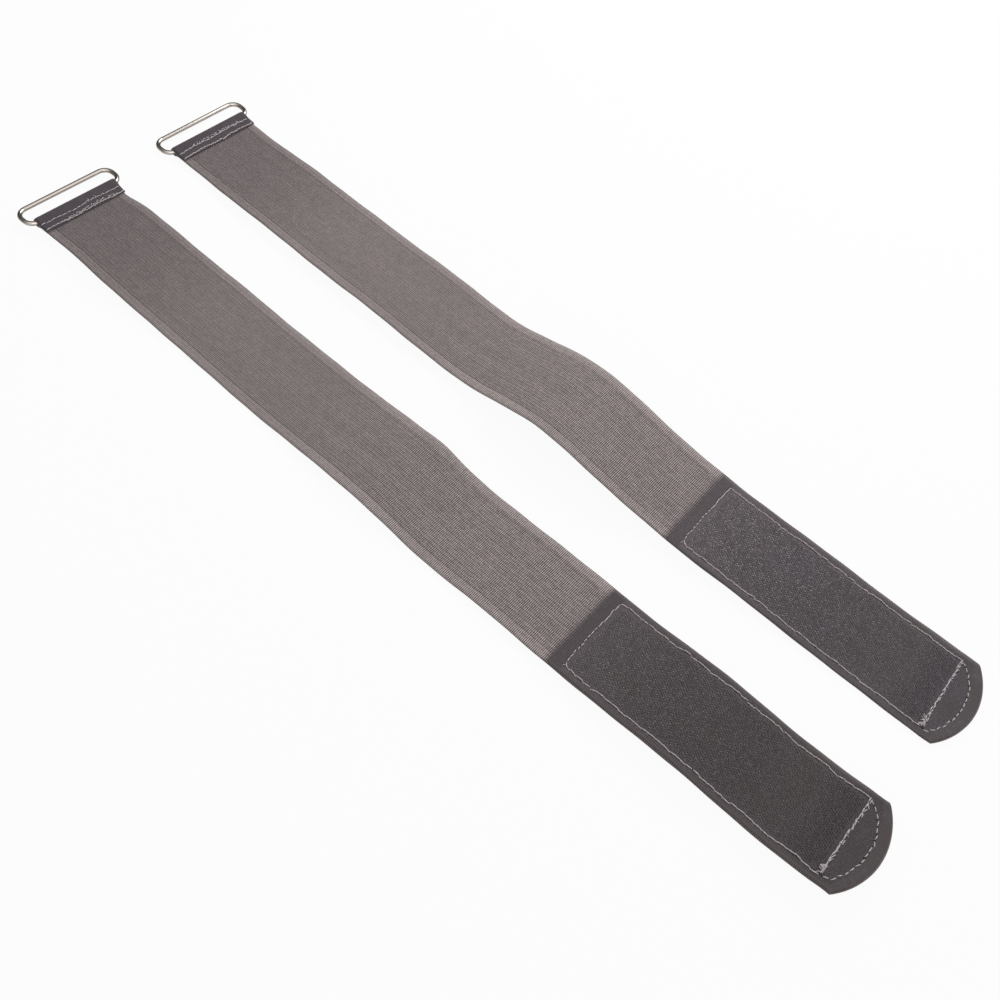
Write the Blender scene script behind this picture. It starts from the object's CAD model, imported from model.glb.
"""A pair of elastic wrist straps, each with a wire ring in its hem and a tab of hook tape.

Every soft piece is drawn flat, in millimetres, as (s, v, h): s runs along the strap from the
outside of its fold, v across it from its middle, and h up from its underside. Then it is laid
along the strap's course, which has the waves and the twist of elastic that lies on a table.
"""

import math
from dataclasses import dataclass

import bmesh
import bpy
import numpy as np
from mathutils import Matrix, Vector


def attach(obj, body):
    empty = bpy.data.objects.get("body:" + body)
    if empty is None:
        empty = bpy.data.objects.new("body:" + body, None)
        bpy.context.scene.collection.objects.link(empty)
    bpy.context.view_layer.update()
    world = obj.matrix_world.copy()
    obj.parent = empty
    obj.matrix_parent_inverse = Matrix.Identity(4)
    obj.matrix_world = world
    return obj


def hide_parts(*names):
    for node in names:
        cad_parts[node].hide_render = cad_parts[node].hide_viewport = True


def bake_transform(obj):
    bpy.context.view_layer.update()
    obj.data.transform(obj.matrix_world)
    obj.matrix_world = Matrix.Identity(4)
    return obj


MM = 0.001
TURN = 2 * math.pi

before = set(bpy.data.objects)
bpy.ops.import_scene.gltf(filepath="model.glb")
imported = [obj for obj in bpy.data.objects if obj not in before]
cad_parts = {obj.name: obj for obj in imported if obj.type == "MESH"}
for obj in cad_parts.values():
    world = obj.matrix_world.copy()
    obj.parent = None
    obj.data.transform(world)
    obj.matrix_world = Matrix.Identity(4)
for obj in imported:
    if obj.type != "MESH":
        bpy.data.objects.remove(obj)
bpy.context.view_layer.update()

# Sizes in millimetres: the part's own, or within a millimetre of them
BAND_WIDTH = 38
BAND_THICK = 0.9
BAND_LENGTH = 384
WIRE_THICK = 1.75
RING_WIDTH = 11.2
RING_BEND = 4
RING_SIDE_GAP = 1.75
BAR_CLEAR = 0.125
HEM_ROWS = (5.3, 8.65)
HEM_PINCH = 0.6  # how far ahead of the first row the hem's layers meet
HEM_END = 9.1  # where its upper layer is cut
HEM_FLAT = 11.9  # where the waves start
TAPE_START = 268.1
TAPE_THICK = 0.6
TAPE_WIDTH = 36.7
TIP_START = 370  # from where the rows bend into the tip's curve
TIP_RADIUS = 28.7
SEAM_HALF = 15.9
SEAM_START = TAPE_START + 4.7
CROSS_AT = BAND_LENGTH - 12.5
MOON_TOP = BAND_LENGTH - 4.6
PANEL_MIDDLES = (22.5, 67, 111, 155, 199, 243, 284.8, 324.5, 364.2)
PAIR_PITCH = 67
FAR_LEAD = 1.3  # how far the far strap lies ahead of the near one

# The cloth's own scale: the webbing's ribs, cords and selvedges, the tape's rows and twill,
# and the hooks
RIB = 0.66
RIB_HEIGHT = 0.09
CORD = 0.67
SELVEDGE = 15.2
TAPE_ROW = 0.64
TAPE_TWILL = 0.95
HOOK_PITCH = 1.0
HOOK_ROW = 0.84
HOOK_WIRE = 0.24

# The thread, and the length of a stitch in each seam
THREAD = 0.4
HEM_STITCHES = (2.3, 2.1)
START_STITCH = 2.0
SIDE_STITCH = 2.9
CROSS_STITCH = 2.2
MOON_STITCH = 2.35

# Where one piece of webbing ends and the next begins, on a rib near the middle of a panel
SPLITS = [RIB * n for n in (101, 168, 235, 302, 368, 431, 492)]
TAPE_SPLITS = SPLITS[5:]

BORE = WIRE_THICK / 2 + BAR_CLEAR
FOLD = BORE + BAND_THICK
TOP = BAND_THICK + TAPE_THICK


def eased(table, s):
    """Values at s that ease from each (s, value) of a table to the next."""
    stations = np.array(table, float)
    k = np.clip(np.searchsorted(stations[:, 0], s) - 1, 0, len(stations) - 2)
    part = np.clip((s - stations[k, 0]) / (stations[k + 1, 0] - stations[k, 0]), 0, 1)
    share = (1 - np.cos(math.pi * part)) / 2
    return stations[k, 1] + (stations[k + 1, 1] - stations[k, 1]) * share


@dataclass(eq=False)
class Strap:
    """How one strap lies, and how it was sewn and worn.

    A list holds (s, value) stations along the strap.
    """

    side: str
    # the height of its underside, and the length that its waves have taken up by then
    lie: list
    take_up: list
    # the place of its fold, how far it has moved sideways by the tip, and how far it bows
    start: tuple
    drift: float
    bow: float
    # how far it sways off that course, and its sideways tilt at each panel's middle
    sway: list
    tilts: tuple
    # where one selvedge curls up, and how far
    curl: tuple
    # how far the hem's end is drawn in, how thick its thread is, and how far the tape is sewn
    # off the middle
    tuck: float
    hem_thread: float
    tape_shift: float
    # the dark and the light of the tape, and of its hooks from new to worn, then a glint
    tape_tones: tuple
    hook_tones: tuple
    seed: int

    def middle(self, s):
        """The underside's middle line: straight through the hem, then in waves."""
        beyond = np.minimum(s - HEM_FLAT, 0)
        s = np.maximum(s, HEM_FLAT)
        u = s / BAND_LENGTH
        x = self.start[0] + s - np.interp(s, *zip(*self.take_up))
        y = self.start[1] + self.drift * u + 4 * self.bow * u * (1 - u)
        slope = (self.drift + 4 * self.bow * (1 - 2 * u)) / BAND_LENGTH
        return np.column_stack([x + beyond, y + slope * beyond, eased(self.lie, s)])

    def lay(self, flat):
        """Puts flat (s, v, h) points where the strap has them, in metres."""
        s, v, h = flat[:, 0], flat[:, 1], flat[:, 2]
        reach = 0.2
        ahead = np.maximum(s, HEM_FLAT) + reach
        run = self.middle(ahead) - self.middle(ahead - 2 * reach)
        run[s < HEM_FLAT + reach, 2] = 0
        run /= np.linalg.norm(run, axis=1)[:, None]
        tilt = np.radians(eased(list(zip(PANEL_MIDDLES, self.tilts)), s))
        level = np.column_stack([-run[:, 1], run[:, 0], np.zeros(len(s))])
        level /= np.linalg.norm(level, axis=1)[:, None]
        across = level * np.cos(tilt)[:, None] + np.cross(run, level) * np.sin(tilt)[:, None]
        up = np.cross(run, across)
        v = v + eased(self.sway, s)
        place = self.middle(s) + across * v[:, None] + up * h[:, None]
        return (place - PAIR_MIDDLE) * MM

    def point(self, s, v=0, h=0):
        """One such place, from which a joint's blend starts or ends."""
        return Vector(self.lay(np.array([[s, v, h]], float))[0])


near = Strap(
    side="near",
    lie=[(HEM_FLAT, BORE + 0.7), (26, 2.9), (106, 0), (122, 0), (180, 2.9), (218, 0.35),
         (226, 0.35), (246, 1.2), (276, 1.3), (320, 3.9), (344, 3.2), (384, 5.8)],
    take_up=[(0, 0), (384, 0.8)],
    start=(0, 0), drift=0, bow=0.4,
    sway=[(0, 0.6), (50, 0), (88, 0.6), (120, 0.4), (165, 0), (208, -0.6), (235, -0.2),
          (360, 0), (384, 0.6)],
    tilts=(-2, -0.8, 0, -0.6, 0, -1, -1.4, -2, -2.8),
    curl=(188, 1.6), tuck=1.1, hem_thread=0.42, tape_shift=-0.2,
    tape_tones=((61, 55, 58), (124, 115, 118)),
    hook_tones=((112, 105, 108), (77, 71, 73), (178, 170, 173)),
    seed=3)
far = Strap(
    side="far",
    lie=[(HEM_FLAT, BORE), (56, 3), (100, 3), (122, 3.5), (160, 2.7), (211, 11.2), (285, 2.2),
         (350, 0), (372, 0), (384, 0.4)],
    take_up=[(0, 0), (160, 0.1), (250, 1.6), (384, 1.7)],
    start=(FAR_LEAD, PAIR_PITCH), drift=0.8, bow=-2.5,
    sway=[(0, 0.5), (45, -0.2), (200, 0), (240, -1.1), (275, 0), (335, 0.5), (384, 0.3)],
    tilts=(0, 0, 0, 0.4, 2.4, 0.8, 0, 0, 0),
    curl=(252, 0), tuck=0.2, hem_thread=0.5, tape_shift=-0.6,
    tape_tones=((70, 64, 68), (136, 127, 131)),
    hook_tones=((120, 113, 117), (98, 92, 96), (222, 214, 218)),
    seed=8)

# The middle of the pair, from the rings' outer side to the far strap's tip
RING_OUT = RING_WIDTH - WIRE_THICK / 2 - FOLD
FAR_TIP = far.middle(np.array([BAND_LENGTH], float))[0, 0]
PAIR_MIDDLE = np.array([(FAR_TIP - RING_OUT) / 2, PAIR_PITCH / 2, 0])


# ---------------------------------------------------------------- drawing

def moved(verts, shape):
    """Moves vertices, all at once, to where shape puts them."""
    verts = list(verts)
    places = shape(np.array([v.co for v in verts], float))
    for vert, place in zip(verts, places):
        vert.co = place


def cloth(bm, start, end, half, low, high, row, column):
    """A flat length of cloth, as a grid of rows and columns with a thickness."""
    rows, columns = round((end - start) / row), round(2 * half / column)
    grid = bmesh.ops.create_grid(bm, x_segments=rows, y_segments=columns, size=0.5)["verts"]
    bmesh.ops.scale(bm, vec=(end - start, 2 * half, 1), verts=grid)
    bmesh.ops.translate(bm, vec=((start + end) / 2, 0, low), verts=grid)
    made = bmesh.ops.extrude_face_region(bm, geom=bm.faces[:], use_keep_orig=True)["geom"]
    upper = [e for e in made if isinstance(e, bmesh.types.BMVert)]
    bmesh.ops.translate(bm, vec=(0, 0, high - low), verts=upper)
    bmesh.ops.recalc_face_normals(bm, faces=bm.faces)


def rod(sides, rings, thick):
    """A rod of length 1 along X, from 0, cut into rings."""
    bm = bmesh.new()
    stand = Matrix.Translation((0.5, 0, 0)) @ Matrix.Rotation(math.pi / 2, 4, "Y")
    bmesh.ops.create_cone(bm, cap_ends=True, segments=sides, radius1=thick / 2,
                          radius2=thick / 2, depth=1, matrix=stand)
    lengthwise = [e for e in bm.edges if abs(e.verts[0].co.x - e.verts[1].co.x) > 0.5]
    bmesh.ops.subdivide_edges(bm, edges=lengthwise, cuts=rings - 1, use_grid_fill=True)
    return bm


def joined(bm, part):
    """Adds a finished part to a piece."""
    mesh = bpy.data.meshes.new("part")
    part.to_mesh(mesh)
    part.free()
    bm.from_mesh(mesh)
    bpy.data.meshes.remove(mesh)


def along(path, flat):
    """Bends what is drawn along X onto a path of (s, v) or (s, v, h) points."""
    path = np.array([tuple(p) + (0,) * (3 - len(p)) for p in path], float)
    reach = np.concatenate([[0], np.cumsum(np.linalg.norm(np.diff(path, axis=0), axis=1))])

    def on_path(x):
        return np.column_stack([np.interp(x, reach, path[:, k]) for k in range(3)])

    x = np.clip(flat[:, 0], 0, reach[-1])
    run = on_path(np.minimum(x + 0.15, reach[-1])) - on_path(np.maximum(x - 0.15, 0))
    run /= np.linalg.norm(run, axis=1)[:, None]
    side = np.cross([0, 0, 1], run)
    side /= np.linalg.norm(side, axis=1)[:, None]
    up = np.cross(run, side)
    over = flat[:, 0] - x
    return on_path(x) + run * over[:, None] + side * flat[:, 1:2] + up * flat[:, 2:3]


def path_length(path):
    """The length of a path of points."""
    return float(np.linalg.norm(np.diff(np.array(path, float), axis=0), axis=1).sum())


def copies(bm, step, count):
    """Repeats all that is drawn in a straight row."""
    bmesh.ops.spin(bm, geom=bm.verts[:] + bm.edges[:] + bm.faces[:], cent=(0, 0, 0),
                   axis=(0, 0, 1), dvec=step, angle=0, steps=count - 1, use_duplicate=True)


def piece(name, strap, bm, finish, body, shape=None, sharp=None):
    """Makes a drawn piece real: keeps its flat places for the finish, and lays it.

    Its body is one that it rides on, or a crossing that it bends over.
    """
    mesh = bpy.data.meshes.new(name)
    bm.to_mesh(mesh)
    bm.free()
    flat = np.zeros(len(mesh.vertices) * 3, np.float32)
    mesh.vertices.foreach_get("co", flat)
    flat = flat.reshape(-1, 3).astype(float)
    kept = mesh.attributes.new("flat", "FLOAT_VECTOR", "POINT")
    kept.data.foreach_set("vector", flat.astype(np.float32).ravel())
    if shape:
        flat = shape(flat)
    mesh.vertices.foreach_set("co", strap.lay(flat).astype(np.float32).ravel())
    mesh.shade_smooth()
    if sharp:
        mesh.set_sharp_from_angle(angle=math.radians(sharp))
    mesh.materials.append(finish)
    mesh.update()
    made = bpy.data.objects.new(name, mesh)
    bpy.context.scene.collection.objects.link(made)
    if isinstance(body, str):
        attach(made, body)
    else:
        strap.point(body[2])
        strap.point(body[3])
        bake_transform(made)
    return made


def crossing(strap, k):
    """The two bodies that the kth piece of webbing joins, and where it starts and ends."""
    first = "root" if k == 1 else f"{strap.side}_flex_panel_{k}"
    start = PANEL_MIDDLES[0] if k == 1 else SPLITS[k - 2]
    end = SPLITS[k - 1] if k < 8 else PANEL_MIDDLES[8]
    return first, f"{strap.side}_flex_panel_{k + 1}", start, end


# ---------------------------------------------------------------- finishes

def shade(red, green, blue):
    """A colour given as it looks, from 0 to 255, as the shader wants it."""
    def linear(c):
        c /= 255
        return c / 12.92 if c <= 0.04045 else ((c + 0.055) / 1.055) ** 2.4
    return linear(red), linear(green), linear(blue), 1


class Nodes:
    """A node tree, and the kinds of nodes that are added to it."""

    def __init__(self, tree):
        self.tree = tree

    def feed(self, socket, value):
        """Links a socket to another node's, or sets its value."""
        if isinstance(value, bpy.types.NodeSocket):
            self.tree.links.new(value, socket)
        else:
            socket.default_value = value

    def add(self, kind, inputs, **settings):
        """Adds a node, with its inputs fed and its settings made."""
        node = self.tree.nodes.new("ShaderNode" + kind)
        for key, value in settings.items():
            setattr(node, key, value)
        for key, value in inputs.items():
            self.feed(node.inputs[key], value)
        return node

    def sum(self, operation, *values):
        """Works out one number from others."""
        return self.add("Math", dict(enumerate(values)), operation=operation).outputs[0]

    def mix(self, share, first, second):
        """Mixes two colours, all of the second where the share is 1."""
        return self.add("Mix", {0: share, 6: first, 7: second}, data_type="RGBA").outputs[2]

    def noise(self, where, scale, detail=2):
        return self.add("TexNoise", {"Vector": where, "Scale": scale, "Detail": detail}).outputs[0]

    def step(self, value, low, high, before=0, after=1):
        """One number before low, another after high, and smooth between them."""
        return self.add("MapRange", {0: value, 1: low, 2: high, 3: before, 4: after},
                        interpolation_type="SMOOTHSTEP").outputs[0]

    def wave(self, value):
        """From 0 to 1 and back over each unit, 1 at the whole numbers."""
        turned = self.sum("COSINE", self.sum("MULTIPLY", value, TURN))
        return self.sum("MULTIPLY_ADD", turned, 0.5, 0.5)

    def grain(self, x, y):
        """A number from 0 to 1 for each cell of a grid."""
        cell = self.add("CombineXYZ", {0: self.sum("FLOOR", x), 1: self.sum("FLOOR", y)})
        return self.add("TexWhiteNoise", {0: cell.outputs[0]}, noise_dimensions="2D").outputs[0]


class Finish(Nodes):
    """One material, built node by node."""

    def __init__(self, name, **shader):
        self.material = bpy.data.materials.new(name)
        self.material.use_nodes = True
        super().__init__(self.material.node_tree)
        self.shader = self.tree.nodes["Principled BSDF"]
        for socket, value in shader.items():
            self.feed(self.shader.inputs[socket.replace("_", " ")], value)

    def flat(self):
        """The cloth's own (s, v, h), as a vector and as three numbers."""
        kept = self.add("Attribute", {}, attribute_type="GEOMETRY", attribute_name="flat")
        split = self.add("SeparateXYZ", {0: kept.outputs["Vector"]})
        return kept.outputs["Vector"], *split.outputs

    def tint(self, colour, where, share, tone):
        """Takes a colour part of the way to a tone, where a mask is 1."""
        return self.mix(self.sum("MULTIPLY", where, share), colour, tone)

    def worn_tip(self, s, colour, rubbed, soiled):
        """Rubs the tape brown ahead of the cross line, and darkens it from there on.

        Each of the two is given as how far it goes, and to which tone.
        """
        patch = self.sum("MULTIPLY", self.step(s, 330, 352), self.step(s, 366, 356))
        colour = self.tint(colour, patch, *rubbed)
        return self.tint(colour, self.step(s, 358, 368), *soiled)

    def relief(self, height, depth):
        """Bumps the surface by up to depth, in millimetres."""
        bump = self.add("Bump", {"Height": height, "Distance": depth * MM, "Strength": 1.0})
        self.feed(self.shader.inputs["Normal"], bump.outputs[0])

    def paint(self, colour):
        self.feed(self.shader.inputs["Base Color"], colour)
        return self.material


def webbing_finish():
    """Elastic with light yarn in ribs across it and a plain dark reverse."""
    f = Finish("elastic_webbing", Roughness=0.85, Sheen_Weight=0.1, Sheen_Roughness=0.4,
               Specular_IOR_Level=0.25)
    flat, s, v, h = f.flat()
    row = f.sum("ADD", f.sum("DIVIDE", s, RIB), f.sum("MULTIPLY", f.noise(flat, 0.05), 0.7))
    cord = f.sum("ADD", f.sum("DIVIDE", v, CORD), f.sum("MULTIPLY", f.noise(flat, 0.12), 1.2))
    rib = f.wave(f.sum("DIVIDE", s, RIB))
    chance = f.grain(f.sum("ADD", row, 0.5), cord)
    aside = f.sum("ABSOLUTE", v)
    edge = f.step(aside, SELVEDGE - 0.2, SELVEDGE + 0.3)
    deep = f.sum("MULTIPLY_ADD", edge, -0.25, 0.4)
    gap = f.sum("ADD", f.sum("MULTIPLY", f.wave(f.sum("MULTIPLY", cord, 0.5)), 0.7), f.wave(cord))
    dash = f.sum("SUBTRACT", 1, f.sum("MULTIPLY", gap, deep))
    yarn = f.sum("MULTIPLY", f.sum("POWER", rib, 1.2), dash)
    yarn = f.sum("MULTIPLY", yarn, f.sum("MULTIPLY_ADD", chance, 0.5, 0.75))
    # some cords run lighter than others for a few centimetres
    run = f.grain(f.sum("MULTIPLY_ADD", f.noise(flat, 0.02), 4, f.sum("DIVIDE", s, 34)), cord)
    yarn = f.sum("MULTIPLY", yarn, f.sum("MULTIPLY_ADD", run, 0.3, 1.0))
    # the yarn shows more where the elastic is slacker, away from the hem
    slack = f.step(s, 128, 215)
    shown = f.sum("MULTIPLY_ADD", slack, 0.66, 0.44)
    base = f.sum("MULTIPLY_ADD", f.step(s, 25, 90), 0.095, 0.035)
    base = f.sum("MULTIPLY_ADD", slack, -0.19, base)
    light = f.sum("ADD", f.sum("MULTIPLY", yarn, shown), base)
    light = f.sum("MULTIPLY_ADD", f.step(aside, SELVEDGE + 0.1, SELVEDGE + 3.3), 0.08, light)
    mottle = f.sum("SUBTRACT", f.noise(flat, 0.3, 4), 0.5)
    light = f.sum("MULTIPLY_ADD", mottle, f.sum("MULTIPLY_ADD", edge, -0.08, 0.12), light)
    # a dark groove and two light cords run along each selvedge
    for line, strength in ((0, -0.12), (0.8, 0.12), (2.4, 0.08)):
        away = f.sum("ABSOLUTE", f.sum("SUBTRACT", aside, SELVEDGE + line))
        light = f.sum("MULTIPLY_ADD", f.step(away, 0.35, 0.0), strength, light)
    face = f.mix(light, shade(78, 69, 71), shade(203, 191, 188))
    face = f.tint(face, f.step(s, TAPE_START - 2.5, TAPE_START + 0.5), 0.62, shade(72, 62, 65))
    # the cut end frays light
    face = f.mix(f.step(s, BAND_LENGTH - 1.3, BAND_LENGTH - 0.4), face, shade(132, 120, 118))
    reverse = f.sum("MULTIPLY_ADD", f.wave(f.sum("MULTIPLY", cord, 0.5)), 0.25, 0.12)
    reverse = f.sum("ADD", f.sum("MULTIPLY", rib, reverse), f.sum("MULTIPLY", mottle, 0.5))
    back = f.mix(reverse, shade(76, 69, 74), shade(116, 108, 112))
    f.relief(f.sum("ADD", light, f.noise(flat, 6.0)), 0.05)
    return f.paint(f.mix(f.step(h, 0.3, 0.6), back, face))


def tape_finish(strap):
    """Dark woven tape in fine rows, a little browner and lighter along its selvedges."""
    f = Finish(f"{strap.side}_hook_tape_weave", Roughness=0.8, Sheen_Weight=0.06,
               Specular_IOR_Level=0.3)
    flat, s, v, _ = f.flat()
    dark, light = (shade(*tone) for tone in strap.tape_tones)
    rows = f.wave(f.sum("DIVIDE", s, TAPE_ROW))
    twill = f.wave(f.sum("ADD", f.sum("DIVIDE", v, TAPE_TWILL), f.sum("DIVIDE", s, 2 * TAPE_ROW)))
    fleck = f.grain(f.sum("DIVIDE", s, TAPE_ROW), f.sum("DIVIDE", v, TAPE_TWILL / 2))
    tone = f.sum("MULTIPLY", rows, f.sum("MULTIPLY_ADD", twill, 0.35, 0.2))
    tone = f.sum("MULTIPLY_ADD", f.step(fleck, 0.55, 1.0), 0.25, tone)
    f.relief(f.sum("ADD", tone, f.noise(flat, 4.0)), 0.06)
    colour = f.mix(tone, dark, light)
    cloudy = f.step(f.noise(flat, 0.07, 3), 0.45, 0.75)
    warm = f.mix(cloudy, colour, shade(78, 71, 66))
    colour = f.tint(colour, f.step(s, 305, 272), 0.3, shade(126, 118, 120))
    colour = f.worn_tip(s, colour, (0.25, shade(106, 99, 92)), (0.3, shade(54, 49, 56)))
    # darker outside the seam at its start, lighter round the tip
    colour = f.tint(colour, f.step(s, SEAM_START + 1, SEAM_START - 0.5), 0.55, shade(62, 55, 60))
    rim = f.step(s, BAND_LENGTH - 5.5, BAND_LENGTH - 3.5)
    colour = f.tint(colour, rim, 0.45, shade(112, 104, 105))
    colour = f.tint(colour, f.step(s, 290, 370), 0.35, shade(56, 51, 53))
    selvedge = f.mix(f.wave(f.sum("DIVIDE", v, 0.45)), shade(84, 76, 77), shade(106, 97, 96))
    edge = f.step(f.sum("ABSOLUTE", v), TAPE_WIDTH / 2 - 1.4, TAPE_WIDTH / 2 - 0.2)
    return f.paint(f.tint(f.mix(0.6, warm, colour), edge, 0.8, selvedge))


def hook_finish(strap):
    """Clear dark filament that glints on some hooks, less so where the tip has been handled."""
    f = Finish(f"{strap.side}_hook_filament", Roughness=0.35)
    _, s, v, _ = f.flat()
    new, old, shine = (shade(*tone) for tone in strap.hook_tones)
    glint = f.grain(f.sum("MULTIPLY_ADD", s, 1 / HOOK_ROW, 0.05),
                    f.sum("MULTIPLY_ADD", v, 1 / HOOK_PITCH, 0.5))
    # the hooks are drawn from the start of the tape
    s = f.sum("ADD", s, TAPE_START)
    worn = f.step(s, 288, 363)
    bright = f.sum("MULTIPLY", f.sum("POWER", glint, 2.2), f.sum("MULTIPLY_ADD", worn, -0.65, 1))
    dark = f.mix(worn, new, old)
    dark = f.worn_tip(s, dark, (0.45, shade(118, 111, 102)), (0.35, shade(62, 57, 64)))
    return f.paint(f.mix(bright, dark, shine))


def plain_finish(name, dark, light, scale, **shader):
    """Thread, or the inside of a hole: two tones in fine streaks."""
    f = Finish(name, **shader)
    streaks = f.noise(f.flat()[0], scale, 3)
    f.relief(streaks, 0.02)
    return f.paint(f.mix(f.step(streaks, 0.3, 0.7), dark, light))


def nickel_finish():
    """Bright nickel plate with a soft haze of handling marks."""
    f = Finish("nickel_plate", Metallic=1.0, Specular_Tint=(0.2, 0.18, 0.16, 1))
    flat = f.flat()[0]
    haze = f.noise(flat, 0.8, 4)
    f.feed(f.shader.inputs["Roughness"], f.sum("MULTIPLY_ADD", haze, 0.08, 0.08))
    f.relief(f.noise(flat, 1.5, 2), 0.0015)
    return f.paint(f.mix(haze, shade(196, 187, 178), shade(222, 214, 206)))


webbing = webbing_finish()
tape_weave = {strap: tape_finish(strap) for strap in (near, far)}
thread = plain_finish("twisted_thread", shade(166, 156, 160), shade(222, 213, 215), 5.0,
                      Roughness=0.5, Sheen_Weight=0.2)
filament = {strap: hook_finish(strap) for strap in (near, far)}
needle_dark = plain_finish("needle_hole", shade(22, 18, 18), shade(40, 35, 35), 3.0,
                           Roughness=0.9)
nickel = nickel_finish()


# ---------------------------------------------------------------- webbing

def fold_line():
    """The hem's middle line by its own length: [length, s, h, normal s, normal h].

    The upper layer comes back over the wire and leans down to the lower one, which it meets
    just ahead of the first row of stitches.
    """
    half = BAND_THICK / 2
    lean = math.asin(BORE / (HEM_ROWS[0] - HEM_PINCH - FOLD))
    mid_r = BORE + half
    leave = mid_r * np.array([math.sin(lean), math.cos(lean)])
    meet = leave[0] + (leave[1] - half) / math.tan(lean)
    turn = np.linspace(math.pi / 2 - lean, 1.5 * math.pi + lean, 60)
    arc = mid_r * np.column_stack([np.cos(turn), np.sin(turn)])
    line = np.vstack([[HEM_END - FOLD, half], [meet, half], arc, [meet, -half],
                      [HEM_FLAT - FOLD, -half]])
    reach = np.concatenate([[0], np.cumsum(np.linalg.norm(np.diff(line, axis=0), axis=1))])
    fine = np.linspace(0, reach[-1], 400)
    line = np.column_stack([np.interp(fine, reach, line[:, k]) for k in range(2)])
    # soften the corners where it leaves the wire and meets the lower layer
    for _ in range(40):
        line[1:-1] = (line[:-2] + 2 * line[1:-1] + line[2:]) / 4
    steps = np.linalg.norm(np.diff(line, axis=0), axis=1)
    reach = np.concatenate([[0], np.cumsum(steps)])
    run = np.gradient(line, axis=0)
    run /= np.linalg.norm(run, axis=1)[:, None]
    return np.column_stack([reach - reach[-1] + HEM_FLAT, line[:, 0] + FOLD,
                            line[:, 1] + BAND_THICK, -run[:, 1], run[:, 0]])


FOLD_LINE = fold_line()
HEM_CUT = FOLD_LINE[0, 0]


def tip_reach(v):
    """How far the rounded tip reaches at v."""
    return BAND_LENGTH - TIP_RADIUS + np.sqrt(np.maximum(TIP_RADIUS**2 - v**2, 0))


def to_tip(flat, inset=0):
    """Draws in the rows behind the tip so that the last one follows its curve."""
    s, v = flat[:, 0].copy(), flat[:, 1]
    behind = s > TIP_START
    part = (s[behind] - TIP_START) / (BAND_LENGTH - TIP_START)
    flat[behind, 0] = TIP_START + part * (tip_reach(v[behind]) - inset - TIP_START)
    return flat


def webbing_shape(strap):
    """Ribs on the face, a faint rib on the reverse, round selvedges, and the hem's fold."""
    def shape(flat):
        s, v, h = flat[:, 0], flat[:, 1].copy(), flat[:, 2]
        edge = np.clip((np.abs(v) - BAND_WIDTH / 2 + 0.5) / 0.5, 0, 1)
        rib = (1 + np.cos(TURN * s / RIB)) / 2
        shown = np.clip((s - HEM_END) / 0.6, 0, 1)
        face = BAND_THICK - RIB_HEIGHT * (1 - rib) * shown
        depth = np.where(h > BAND_THICK / 2, face, 0.03 * rib)
        depth = BAND_THICK / 2 + (depth - BAND_THICK / 2) * np.sqrt(1 - 0.8 * edge**2)
        # the selvedges waver, and the hem draws them in a little
        waver = 0.1 * np.sin(s / 7.3 + strap.seed) + 0.07 * np.sin(s / 2.9 + 2 * strap.seed)
        v += waver * np.clip(np.abs(v) - 14, 0, 4) / 5 * np.sign(v)
        v *= 1 - 0.014 * np.exp(-(((s - 20) / 16) ** 2))
        curl = strap.curl[1] * np.exp(-(((s - strap.curl[0]) / 10) ** 2))
        depth = depth + curl * np.clip((v - 7) / 12, 0, 1) ** 2
        out = to_tip(np.column_stack([s, v, depth]))
        hem = s < HEM_FLAT
        line = [np.interp(s[hem], FOLD_LINE[:, 0], FOLD_LINE[:, k]) for k in (1, 2, 3, 4)]
        off = depth[hem] - BAND_THICK / 2
        out[hem, 0] = line[0] + line[2] * off
        out[hem, 2] = line[1] + line[3] * off
        tuck = np.clip((v - 9) / 10, 0, 1) * np.exp(-(((out[:, 0] - 9.5) / 5) ** 2))
        out[:, 1] -= tuck * strap.tuck
        return out
    return shape


def make_webbing(strap):
    """The strap's one length of elastic, in eight pieces that bend into each other."""
    nodes = [["hem_band"], ["band_2"], ["band_3"], ["band_4"], ["band_5"], ["band_6"],
             ["tab_1"], ["tab_2", "tab_3"]]
    stops = [HEM_CUT, *SPLITS, BAND_LENGTH]
    for k, stood_for in enumerate(nodes, 1):
        bm = bmesh.new()
        cloth(bm, stops[k - 1], stops[k], BAND_WIDTH / 2, 0, BAND_THICK, row=RIB / 4,
              column=0.95)
        made = piece(f"{strap.side}_webbing_{k}", strap, bm, webbing,
                     crossing(strap, k), webbing_shape(strap))
        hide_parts(*[f"{strap.side}_{n}" for n in stood_for])


# ---------------------------------------------------------------- hook tape

def moon_path():
    """The half-moon of stitching, from one end of the cross line to the other."""
    rise = MOON_TOP - CROSS_AT
    return [(CROSS_AT + rise * math.cos(a) ** (1.2 + 0.35 * math.sin(a)), SEAM_HALF * math.sin(a))
            for a in np.linspace(-1.5, 1.5, 60)]


def drawn_in(s, v):
    """How far the stitching draws the tape in, from 0 to 1."""
    beside = (s > SEAM_START) & (s <= CROSS_AT + 1)
    side = np.where(beside, np.abs(np.abs(v) - SEAM_HALF), np.inf)
    inside = np.abs(v) < SEAM_HALF + 0.5
    start = np.where(inside, np.abs(s - SEAM_START), np.inf)
    cross = np.where(inside, np.abs(s - CROSS_AT), np.inf)
    moon = np.full(len(s), np.inf)
    tip = s > CROSS_AT
    for at, across in moon_path():
        moon[tip] = np.minimum(moon[tip], np.hypot(s[tip] - at, v[tip] - across))
    nearest = np.minimum(np.minimum(side, start), np.minimum(cross, moon))
    return np.exp(-((nearest / 0.75) ** 2))


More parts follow.
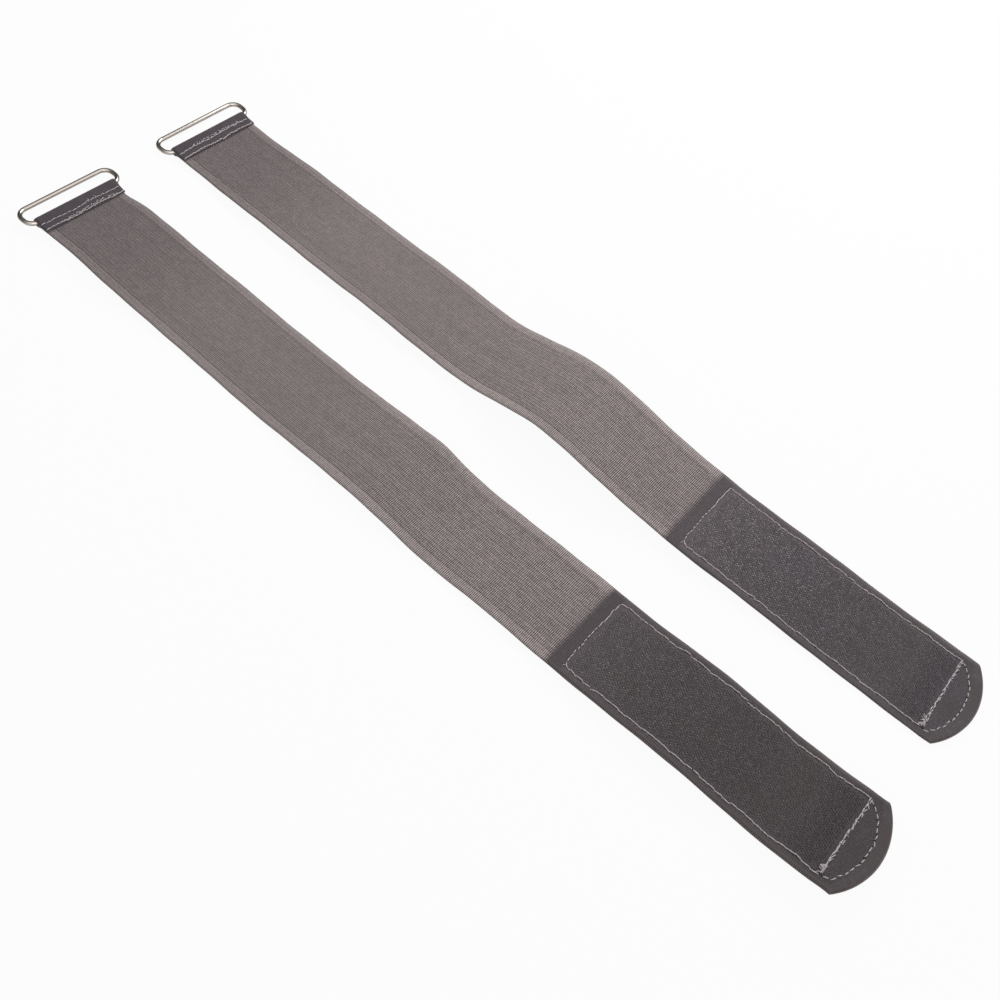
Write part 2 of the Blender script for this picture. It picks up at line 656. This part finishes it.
def tape_shape(strap):
    """Thin selvedges, a drawn-in line under every seam, and corners cut at the start."""
    def shape(flat):
        s, v, h = flat[:, 0], flat[:, 1].copy(), flat[:, 2].copy()
        upper = h > BAND_THICK + TAPE_THICK / 2
        edge = np.clip((np.abs(v) - TAPE_WIDTH / 2 + 0.35) / 0.35, 0, 1)
        h[upper] -= 0.16 * (drawn_in(s, v) + edge**2)[upper]
        left, right = TAPE_WIDTH / 2 + v, TAPE_WIDTH / 2 - v
        cut = np.maximum(1 - left, 0) + np.maximum(1.2 - right, 0) * 0.5
        s = s + cut * np.clip(1 - (s - TAPE_START) / 6, 0, 1)
        v += strap.tape_shift + 0.12 * np.sin(s / 5.1 + strap.seed) * (np.abs(v) > 15)
        return to_tip(np.column_stack([s, v, h]), 0.6)
    return shape


def make_tape(strap):
    """The hook tape, cut in three where the webbing under it is, and its hooks."""
    stops = [TAPE_START, *TAPE_SPLITS, BAND_LENGTH]
    for k in range(1, 4):
        body = crossing(strap, k + 5)
        bm = bmesh.new()
        cloth(bm, stops[k - 1], stops[k], TAPE_WIDTH / 2, BAND_THICK, TOP, row=0.6, column=0.5)
        made = piece(f"{strap.side}_tape_{k}", strap, bm, tape_weave[strap], body,
                     tape_shape(strap), sharp=50)
        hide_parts(f"{strap.side}_hook_tape_{k}")
        make_hooks(strap, k, body, max(stops[k - 1], SEAM_START + 1.4),
                   min(stops[k], CROSS_AT - 1.2))


def make_hooks(strap, k, body, start, end):
    """Rows of filament hooks, every other row set over by half a pitch."""
    across = int(2 * (SEAM_HALF - 1.3) / HOOK_PITCH)
    first = math.ceil((start - TAPE_START) / HOOK_ROW)
    rows = math.ceil((end - TAPE_START) / HOOK_ROW) - first
    # each is drawn straight, and a share of it is the stem below the curl
    drawn, stem, curl, bend = 0.7, 0.35, 0.15, 2.6
    bm = rod(4, 5, HOOK_WIRE)
    moved(bm.verts, lambda p: p * (drawn, 1, 1))
    copies(bm, (0, HOOK_PITCH, 0), across)
    copies(bm, (HOOK_ROW, 0, 0), rows)
    moved(bm.verts, lambda p: p + (first * HOOK_ROW, 0, 0))
    draw = np.random.default_rng(strap.seed * 10 + k)
    lean = draw.normal(0, 0.16, (rows + 2, across + 2, 3))

    def shape(flat):
        r = np.floor(flat[:, 0] / HOOK_ROW + 0.05).astype(int)
        c = np.rint(flat[:, 1] / HOOK_PITCH).astype(int)
        t = (flat[:, 0] - r * HOOK_ROW) / drawn
        y, z = flat[:, 1] - c * HOOK_PITCH, flat[:, 2]
        # up from the tape, then over in a curl that faces the tip
        angle = np.clip(t - stem, 0, 1) / (1 - stem) * bend
        rise = np.minimum(t, stem) / stem * 0.24 - 0.06
        s = curl * (1 - np.cos(angle)) - np.cos(angle) * z
        h = rise + curl * np.sin(angle)
        away = lean[r - first, c]
        s += TAPE_START + r * HOOK_ROW + away[:, 0] * 0.5 + away[:, 1] * h
        v = (c - (across - 1) / 2) * HOOK_PITCH + y + away[:, 1] * 0.5 + away[:, 2] * h
        v += np.where(r % 2, 0.25, -0.25) * HOOK_PITCH + strap.tape_shift
        return np.column_stack([s, v, TOP + h + np.sin(angle) * z])

    piece(f"{strap.side}_hooks_{k}", strap, bm, filament[strap], body, shape)


# ---------------------------------------------------------------- stitching

def spaced(path, pitch):
    """How many stitches a path takes, and the pitch that fills it."""
    count = max(2, round(path_length(path) / pitch))
    return count, path_length(path) / count


def on_cloth(path, flat, level):
    """Bends what is drawn along X onto a path that lies at a level."""
    return along(path, flat) + (0, 0, level)


def seam(bm, path, pitch, level, draw, length=1.05, thick=THREAD, wander=0.14, turn=0.12,
         rise=0.16):
    """Adds a row of stitches along a path, each rising out of the cloth and dipping back."""
    count, pitch = spaced(path, pitch)
    row = rod(6, 8, thick)
    moved(row.verts, lambda p: p * (pitch * length, 1, 1) + (pitch * (1 - length) / 2, 0, 0))
    copies(row, (pitch, 0, 0), count)
    off, yaw = draw.normal(0, wander, count), draw.normal(0, turn, count)
    lift, grow = draw.normal(0, 0.03, count), draw.normal(1, 0.06, count)
    twist, flatness, dip = 7.0, 0.66, 0.28

    def shape(flat):
        # what is longer than its share of the row goes with the stitch beside it
        k = np.clip(np.floor(flat[:, 0] / pitch).astype(int), 0, count - 1)
        t = (flat[:, 0] - (k + 0.5) * pitch) / (pitch * length)
        # a flat section that turns along the stitch looks like twisted thread
        spin = t * twist
        y, z = flat[:, 1], flat[:, 2] * flatness
        y, z = y * np.cos(spin) - z * np.sin(spin), y * np.sin(spin) + z * np.cos(spin)
        taper = 1 - 0.2 * (2 * np.abs(t)) ** 4
        arch = rise + lift[k] - (rise + dip) * (2 * np.abs(t)) ** 5
        x = (k + 0.5) * pitch + t * pitch * length * grow[k]
        flat = np.column_stack([x, y * taper + off[k] + yaw[k] * t * pitch, z * taper + arch])
        return on_cloth(path, flat, level)

    moved(row.verts, shape)
    joined(bm, row)


def holes(bm, path, pitch, level, draw, size):
    """Adds the pits that the needle left between the stitches of a row."""
    count, pitch = spaced(path, pitch)
    row = bmesh.new()
    bmesh.ops.create_uvsphere(row, u_segments=8, v_segments=5, radius=size)
    copies(row, (pitch, 0, 0), count + 1)
    grow = draw.uniform(0.5, 1.1, count + 2)
    flatness = 0.16

    def shape(flat):
        k = np.clip(np.rint(flat[:, 0] / pitch).astype(int), 0, count + 1)
        x = flat[:, 0] - k * pitch
        flat = np.column_stack([k * pitch + x * grow[k], flat[:, 1] * grow[k],
                                flat[:, 2] * flatness])
        return on_cloth(path, flat, level)

    moved(row.verts, shape)
    joined(bm, row)


def loose(bm, path, thick, level):
    """Adds a thread end that lies along a path of (s, v, h) points."""
    end = rod(5, 12, thick)
    long = path_length(path)

    def shape(flat):
        taper = 1 - 0.4 * flat[:, :1]
        flat = np.column_stack([flat[:, :1] * long, flat[:, 1:] * taper])
        return on_cloth(path, flat, level)

    moved(end.verts, shape)
    joined(bm, end)


def shifted(path, strap):
    """A path on the tape, which isn't quite in the middle of the strap."""
    return [(s, v + strap.tape_shift, *h) for s, v, *h in path]


def make_hem_seams(strap):
    """Two rows through the folded hem, one of them sewn over again in its far half."""
    draw = np.random.default_rng(strap.seed)
    level = 2 * BAND_THICK
    sewn_over = 1 if strap is near else 0
    for n, (at, pitch) in enumerate(zip(HEM_ROWS, HEM_STITCHES)):
        bm = bmesh.new()
        row = [(at + 0.25 * math.sin(v / 3.1 + strap.seed), v) for v in np.linspace(-18.7, 18, 60)]
        seam(bm, row, pitch, level, draw, length=(1.03, 1.06)[n], wander=0.1, turn=0.08,
             thick=strap.hem_thread, rise=0.2)
        if n == sewn_over:
            back = [(at - 0.95 * math.cos((v - 2) / 9) + 0.2 * math.sin(v * 1.9), v)
                    for v in np.linspace(-11, 15, 90)]
            seam(bm, back, 1.5, level + 0.05, draw, wander=0.3, turn=0.5, thick=0.36)
            for v in np.arange(-8, 15, 2.3):
                bend = draw.uniform(-0.8, 0.8)
                loop = [(at, v, 0.15), (at - 0.5, v + bend, 0.4), (at - 1.1, v + 0.5 * bend, 0.35),
                        (at - 1.2, v - 0.4 * bend, 0.15)]
                loose(bm, loop, 0.22, level)
        if n == 0:
            for v in (3.2, 6.5):
                end = [(at + 0.2, v, 0.1), (at - 0.6, v + 0.5, 0.35), (at - 1.5, v + 0.2, 0.3),
                       (at - 2.0, v - 0.6, 0.12)]
                loose(bm, end, 0.24, level)
        piece(f"{strap.side}_hem_seam_{n + 1}", strap, bm, thread, "root")
        bm = bmesh.new()
        holes(bm, row, pitch, level, draw, 0.3)
        piece(f"{strap.side}_hem_needle_holes_{n + 1}", strap, bm, needle_dark, "root")
    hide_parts(f"{strap.side}_hem_stitching")


def make_side_seams(strap, draw):
    """The seam across the start of the tape and down both sides, split where the tape is."""
    half, first = SEAM_HALF, SEAM_START
    stops = [first, *TAPE_SPLITS, CROSS_AT]
    for k in range(1, 4):
        body = crossing(strap, k + 5)
        bm, pits = bmesh.new(), bmesh.new()
        if k == 1:
            # shorter stitches and a cut end where it begins, near one corner
            tight = shifted([(first + 0.4, -half + 1.8), (first, -half + 4), (first, 3)], strap)
            seam(bm, tight, START_STITCH, TOP - 0.1, draw, length=0.97)
            holes(pits, tight, START_STITCH, TOP - 0.12, draw, 0.35)
            paths = [[(stops[1], -half), (first + 3, -half), (first + 1.2, -half + 0.7),
                      (first + 0.4, -half + 1.8)],
                     [(first, 3), (first, half - 0.5), (first + 0.5, half), (stops[1], half)]]
            tail = [(first + 1.0, -half + 0.8, 0.0), (first + 0.5, -half + 0.4, 0.25),
                    (first + 0.2, -half, 0.2), (first + 0.1, -half - 0.4, 0.1)]
            loose(bm, shifted(tail, strap), 0.26, TOP - 0.1)
        else:
            paths = [[(s, side * (half + 0.18 * math.sin(s / 2.7 + side * strap.seed)))
                      for s in np.linspace(stops[k - 1], stops[k], 60)] for side in (-1, 1)]
        for path in paths:
            path = shifted(path, strap)
            seam(bm, path, SIDE_STITCH, TOP - 0.1, draw)
            holes(pits, path, SIDE_STITCH, TOP - 0.13, draw, 0.3)
        made = piece(f"{strap.side}_tape_seam_{k}", strap, bm, thread, body)
        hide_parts(f"{strap.side}_tape_stitching_{k}")
        piece(f"{strap.side}_tape_needle_holes_{k}", strap, pits, needle_dark, body)


def make_tip_seams(strap, draw):
    """The cross line, sewn twice and knotted at one end, and the half-moon beyond it."""
    half, body = SEAM_HALF, crossing(strap, 8)
    bm = bmesh.new()
    line = shifted([(CROSS_AT, v) for v in np.linspace(-half + 0.5, half + 0.6, 40)], strap)
    seam(bm, line, CROSS_STITCH, TOP - 0.08, draw, length=1, thick=0.5)
    over = shifted([(CROSS_AT + 0.35, v) for v in np.linspace(-half + 0.9, half, 40)], strap)
    seam(bm, over, 1.9, TOP + 0.08, draw, length=0.95, turn=0.25, wander=0.2)
    for v in np.arange(-12.5, 12, 3.1):
        tick = [(CROSS_AT, v, 0.1), (CROSS_AT + 0.6, v + 0.2, 0.2), (CROSS_AT + 1.0, v + 0.1, 0.0)]
        loose(bm, shifted(tick, strap), 0.26, TOP)
    for n in range(7):
        v, turn = -half + 1.0 + 0.45 * n, draw.uniform(-0.8, 0.8)
        knot = [(CROSS_AT + 0.6, v, 0.1), (CROSS_AT - 0.2, v + turn * 0.4, 0.45),
                (CROSS_AT - 0.9, v + turn, 0.3), (CROSS_AT - 1.3, v + 1.6 * turn, 0.1)]
        loose(bm, shifted(knot, strap), 0.3, TOP)
    made = piece(f"{strap.side}_cross_seam", strap, bm, thread, body)
    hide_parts(f"{strap.side}_cross_stitching")
    bm, pits = bmesh.new(), bmesh.new()
    moon = shifted(moon_path(), strap)
    seam(bm, moon, MOON_STITCH, TOP - 0.1, draw, length=0.88)
    holes(pits, moon, MOON_STITCH, TOP - 0.08, draw, 0.5)
    made = piece(f"{strap.side}_half_moon_seam", strap, bm, thread, body)
    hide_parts(f"{strap.side}_tip_stitching")
    piece(f"{strap.side}_tip_needle_holes", strap, pits, needle_dark, body)


# ---------------------------------------------------------------- ring

def make_ring(strap):
    """A ring of bent wire whose ends meet in a butt inside the hem."""
    bar_half = BAND_WIDTH / 2 + RING_SIDE_GAP + WIRE_THICK / 2 - RING_BEND
    near_bend, far_bend = FOLD - RING_BEND, FOLD - RING_WIDTH + WIRE_THICK + RING_BEND
    butt = 6
    path = [(FOLD, butt)]
    for quarter, (s, v) in enumerate([(near_bend, bar_half), (far_bend, bar_half),
                                      (far_bend, -bar_half), (near_bend, -bar_half)]):
        path += [(s + RING_BEND * math.cos(a), v + RING_BEND * math.sin(a))
                 for a in np.linspace(quarter, quarter + 1, 17) * math.pi / 2]
    path.append((FOLD, butt - 0.06))
    # a touch thicker than the part's own wire, as far as its tunnel in the hem allows
    bm = rod(24, 160, WIRE_THICK + 0.08)
    long = path_length(path)
    moved(bm.verts, lambda p: on_cloth(path, p * (long, 1, 1), BAND_THICK))
    made = piece(f"{strap.side}_wire_ring", strap, bm, nickel,
                 f"{strap.side}_ring_body", sharp=60)
    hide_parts(f"{strap.side}_ring")


for strap in (near, far):
    make_webbing(strap)
    make_tape(strap)
    make_hem_seams(strap)
    draw = np.random.default_rng(strap.seed + 50)
    make_side_seams(strap, draw)
    make_tip_seams(strap, draw)
    make_ring(strap)


# ---------------------------------------------------------------- stage

def make_floor():
    """A plain white table that keeps the straps' soft shadow."""
    bm = bmesh.new()
    bmesh.ops.create_grid(bm, x_segments=1, y_segments=1, size=3)
    mesh = bpy.data.meshes.new("table_top")
    bm.to_mesh(mesh)
    bm.free()
    mesh.transform(Matrix.Translation((0, 0, -0.2 * MM)))
    floor = bpy.data.objects.new("table_top", mesh)
    bpy.context.scene.collection.objects.link(floor)
    f = Finish("white_table", Roughness=0.9, Base_Color=(0.8, 0.8, 0.8, 1))
    # it looks white, under a faint shadow, and lights the straps as a plain white table does
    rays = f.add("LightPath", {}).outputs
    glow = f.add("Emission", {"Color": (1, 1, 1, 1), "Strength": 1.0})
    mirrored = f.sum("MAXIMUM", rays["Is Glossy Ray"], rays["Is Transmission Ray"])
    share = f.sum("MAXIMUM", f.sum("MULTIPLY", rays["Is Camera Ray"], 0.94),
                  f.sum("MULTIPLY", mirrored, 0.1))
    both = f.add("MixShader", {0: share, 1: f.shader.outputs[0], 2: glow.outputs[0]})
    f.feed(f.tree.nodes["Material Output"].inputs[0], both.outputs[0])
    mesh.materials.append(f.material)


def make_world():
    """Soft light from all round, white where it is seen.

    Polished metal shows a studio that is bright on one side and dim on the other.
    """
    world = bpy.data.worlds.new("soft_studio")
    bpy.context.scene.world = world
    world.use_nodes = True
    sky = Nodes(world.node_tree)
    x, _, z = sky.add("SeparateXYZ", {0: sky.add("TexCoord", {}).outputs["Generated"]}).outputs
    side = sky.sum("MULTIPLY_ADD", x, 0.75, sky.sum("MULTIPLY", z, 0.65))
    rays = sky.add("LightPath", {}).outputs
    seen = sky.sum("MAXIMUM", rays["Is Camera Ray"], rays["Is Transmission Ray"])
    mirrored = rays["Is Glossy Ray"]
    strength = sky.sum("MULTIPLY_ADD", sky.sum("MAXIMUM", seen, mirrored), -0.5, 0.5)
    strength = sky.sum("MULTIPLY_ADD", seen, 0.975, strength)
    strength = sky.sum("MULTIPLY_ADD", mirrored, sky.step(side, -0.3, 0.95, 0.06, 1.12), strength)
    background = sky.tree.nodes["Background"].inputs
    sky.feed(background["Color"], (1, 1, 1, 1))
    sky.feed(background["Strength"], strength)


def make_lamp(name, place, aim, size, power):
    """A softbox that faces what it is aimed at."""
    light = bpy.data.lights.new(name, "AREA")
    light.shape, light.size, light.size_y = "RECTANGLE", *size
    light.energy = power
    lamp = bpy.data.objects.new(name, light)
    lamp.location = place
    lamp.rotation_euler = (Vector(aim) - Vector(place)).to_track_quat("-Z", "Y").to_euler()
    bpy.context.scene.collection.objects.link(lamp)


def make_camera(place, azimuth, elevation, roll, lens):
    """A camera at a place, turned by an azimuth, an elevation and a roll in degrees."""
    azimuth, elevation, roll = (math.radians(a) for a in (azimuth, elevation, roll))
    back = Vector((math.sin(azimuth) * math.cos(elevation),
                   -math.cos(azimuth) * math.cos(elevation), math.sin(elevation)))
    right = Vector((math.cos(azimuth), math.sin(azimuth), 0))
    up = back.cross(right)
    turn = Matrix.Rotation(roll, 3, back)
    right, up = turn @ right, turn @ up
    data = bpy.data.cameras.new("camera")
    data.lens, data.sensor_width = lens, 36
    data.clip_start, data.clip_end = 0.01, 20
    camera = bpy.data.objects.new("camera", data)
    turned = Matrix((right, up, back)).transposed().to_4x4()
    camera.matrix_world = Matrix.Translation(place) @ turned
    bpy.context.scene.collection.objects.link(camera)
    bpy.context.scene.camera = camera


make_floor()
make_world()
make_lamp("key_softbox", (-0.08, 0.5, 0.45), (0, 0.03, 0), (0.55, 0.4), 2.8)
make_lamp("fill_softbox", (0.8, -0.7, 0.8), (0, 0, 0), (0.8, 0.8), 1.5)
make_camera((0.1339, -0.1926, 0.3196), azimuth=30.927, elevation=57.061, roll=12.398, lens=38.44)
bpy.context.scene.view_settings.view_transform = "Standard"
